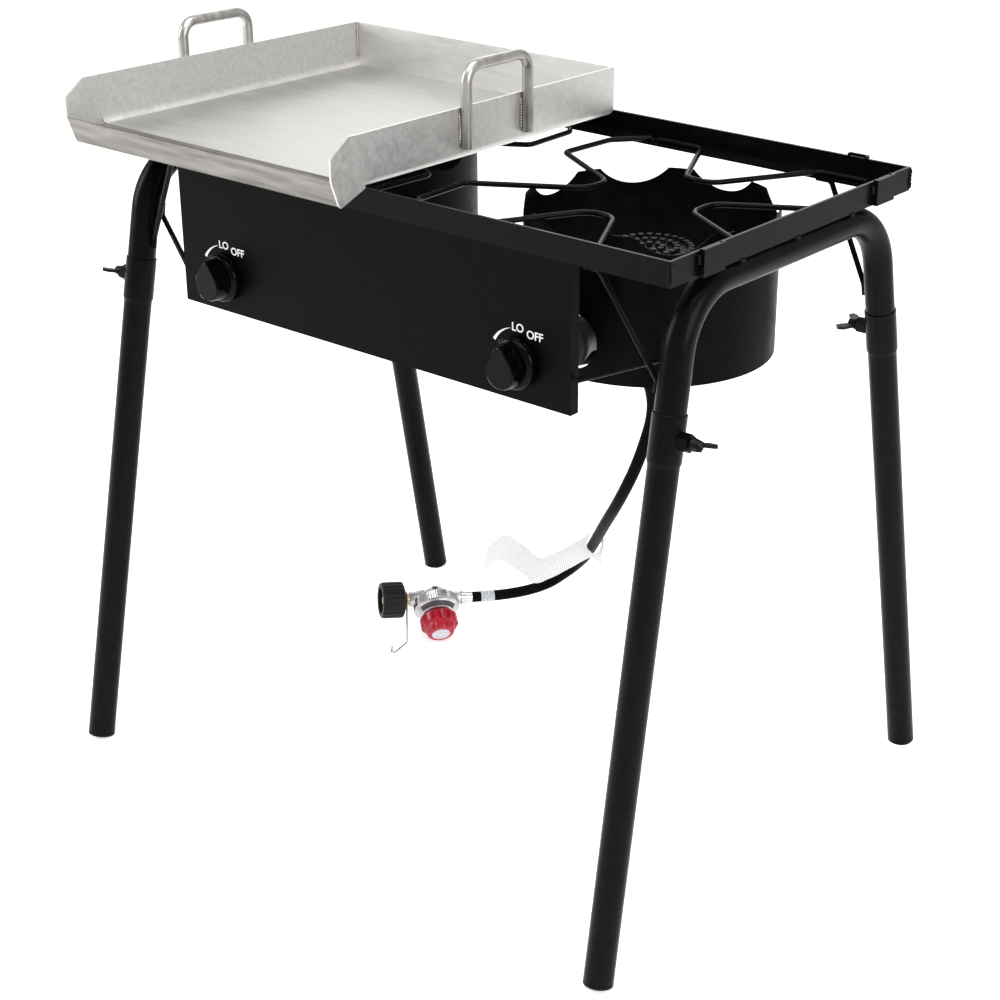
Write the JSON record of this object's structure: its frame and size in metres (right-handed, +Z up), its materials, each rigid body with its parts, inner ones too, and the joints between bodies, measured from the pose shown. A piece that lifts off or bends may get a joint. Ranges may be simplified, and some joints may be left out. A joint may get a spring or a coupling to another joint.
{
  "type": "propane burner stand",
  "caption": "outdoor gas cooking stand with open burner bowls, bent-rod pot supports, splayed clamp-on tube legs, control panel, lift-off stainless griddle and hose with regulator",
  "frame": {"origin": "middle of the four feet on the floor", "axes": "+X along the stand to the right-hand burner, -Y towards the control panel, +Z up"},
  "size_m": [0.849, 0.6466, 0.849],
  "materials": {
    "black_frame": "satin black high-temperature enamel",
    "black_sheet": "satin black high-temperature enamel on sheet",
    "cast_iron": "bare sand-cast iron",
    "dark_zinc": "black-plated steel",
    "plug_plastic": "moulded polyethylene",
    "zinc_sheet": "zinc-plated sheet steel",
    "brass": "machined brass",
    "steel_pipe": "black-painted steel pipe",
    "stem_steel": "bright steel",
    "knob_plastic": "moulded phenolic",
    "stainless": "brushed stainless steel",
    "hose_rubber": "smooth rubber hose",
    "die_cast": "die-cast zinc",
    "red_plastic": "moulded red plastic",
    "tag_card": "printed card"
  },
  "bodies": {
    "stand": {"front_rail": "black_frame", "back_rail": "black_frame", "left_rail": "black_frame", "right_rail": "black_frame", "left_pot_supports": "black_frame", "right_pot_supports": "black_frame", "left_leg_bracket": "black_frame", "right_leg_bracket": "black_frame", "left_panel_stay": "black_frame", "right_panel_stay": "black_frame", "accessory_clips": "black_frame", "front_left_brace": "black_frame", "front_right_brace": "black_frame", "back_left_brace": "black_frame", "back_right_brace": "black_frame", "front_panel": "black_sheet", "left_shroud": "black_sheet", "right_shroud": "black_sheet", "left_burner_support": "black_sheet", "right_burner_support": "black_sheet", "left_burner": "cast_iron", "right_burner": "cast_iron", "left_valve": "brass", "right_valve": "brass", "gas_manifold": "steel_pipe", "hose": "hose_rubber", "hose_ferrule": "brass", "regulator_body": "die_cast", "regulator_bonnet": "die_cast", "tank_nipple": "brass", "retaining_wire": "stem_steel", "safety_tag": "tag_card"},
    "front_left_leg_assembly": {"front_left_leg": "black_frame", "front_left_foot_plug": "plug_plastic", "front_left_clamp_nut": "black_frame"},
    "front_left_clamp_screw": {"front_left_wing_bolt": "dark_zinc"},
    "front_right_leg_assembly": {"front_right_leg": "black_frame", "front_right_foot_plug": "plug_plastic", "front_right_clamp_nut": "black_frame"},
    "front_right_clamp_screw": {"front_right_wing_bolt": "dark_zinc"},
    "back_left_leg_assembly": {"back_left_leg": "black_frame", "back_left_foot_plug": "plug_plastic", "back_left_clamp_nut": "black_frame"},
    "back_left_clamp_screw": {"back_left_wing_bolt": "dark_zinc"},
    "back_right_leg_assembly": {"back_right_leg": "black_frame", "back_right_foot_plug": "plug_plastic", "back_right_clamp_nut": "black_frame"},
    "back_right_clamp_screw": {"back_right_wing_bolt": "dark_zinc"},
    "griddle": {"griddle_pan": "stainless", "griddle_left_handle": "stainless", "griddle_right_handle": "stainless"},
    "left_control": {"left_valve_stem": "stem_steel", "left_knob": "knob_plastic"},
    "left_shutter": {"left_air_shutter": "zinc_sheet"},
    "right_control": {"right_valve_stem": "stem_steel", "right_knob": "knob_plastic"},
    "right_shutter": {"right_air_shutter": "zinc_sheet"},
    "tank_connector": {"tank_nut": "knob_plastic"},
    "pressure_control": {"regulator_knob": "red_plastic"}
  },
  "joints": [
    {"name": "front_left_leg_slide", "type": "slide", "parent": "stand", "child": "front_left_leg_assembly", "axis": [-0.0217, -0.1898, -0.9816], "range_m": [0, 0.06]},
    {"name": "front_left_clamp_turn", "type": "hinge", "parent": "front_left_leg_assembly", "child": "front_left_clamp_screw", "pos_m": [-0.40547, -0.19864, 0.56608], "axis": [-0.9998, 0.0041, 0.0213], "range_deg": [0, 360]},
    {"name": "front_right_leg_slide", "type": "slide", "parent": "stand", "child": "front_right_leg_assembly", "axis": [0.0217, -0.1898, -0.9816], "range_m": [0, 0.06]},
    {"name": "front_right_clamp_turn", "type": "hinge", "parent": "front_right_leg_assembly", "child": "front_right_clamp_screw", "pos_m": [0.40547, -0.19864, 0.56608], "axis": [0.9998, 0.0041, 0.0213], "range_deg": [0, 360]},
    {"name": "back_left_leg_slide", "type": "slide", "parent": "stand", "child": "back_left_leg_assembly", "axis": [-0.0217, 0.1898, -0.9816], "range_m": [0, 0.06]},
    {"name": "back_left_clamp_turn", "type": "hinge", "parent": "back_left_leg_assembly", "child": "back_left_clamp_screw", "pos_m": [-0.34548, 0.19889, 0.5648], "axis": [0.9998, 0.0041, -0.0213], "range_deg": [0, 360]},
    {"name": "back_right_leg_slide", "type": "slide", "parent": "stand", "child": "back_right_leg_assembly", "axis": [0.0217, 0.1898, -0.9816], "range_m": [0, 0.06]},
    {"name": "back_right_clamp_turn", "type": "hinge", "parent": "back_right_leg_assembly", "child": "back_right_clamp_screw", "pos_m": [0.34548, 0.19889, 0.5648], "axis": [-0.9998, 0.0041, -0.0213], "range_deg": [0, 360]},
    {"name": "griddle_lift", "type": "slide", "parent": "stand", "child": "griddle", "axis": [0, 0, 1], "range_m": [0, 0.15]},
    {"name": "left_knob_turn", "type": "hinge", "parent": "stand", "child": "left_control", "pos_m": [-0.2075, -0.22, 0.606], "axis": [0, -1, 0], "range_deg": [0, 150]},
    {"name": "left_shutter_turn", "type": "hinge", "parent": "stand", "child": "left_shutter", "pos_m": [-0.2075, -0.1464, 0.606], "axis": [0, -1, 0], "range_deg": [0, 90]},
    {"name": "right_knob_turn", "type": "hinge", "parent": "stand", "child": "right_control", "pos_m": [0.2075, -0.22, 0.606], "axis": [0, -1, 0], "range_deg": [0, 150]},
    {"name": "right_shutter_turn", "type": "hinge", "parent": "stand", "child": "right_shutter", "pos_m": [0.2075, -0.1464, 0.606], "axis": [0, -1, 0], "range_deg": [0, 90]},
    {"name": "tank_nut_turn", "type": "hinge", "parent": "stand", "child": "tank_connector", "pos_m": [-0.28722, 0.11089, 0.05116], "axis": [-0.5866, -0.8053, 0.0855], "continuous": true},
    {"name": "regulator_knob_turn", "type": "hinge", "parent": "stand", "child": "pressure_control", "pos_m": [-0.22986, 0.13869, 0.02824], "axis": [0.6669, -0.5403, -0.5132], "range_deg": [0, 360]}
  ]
}
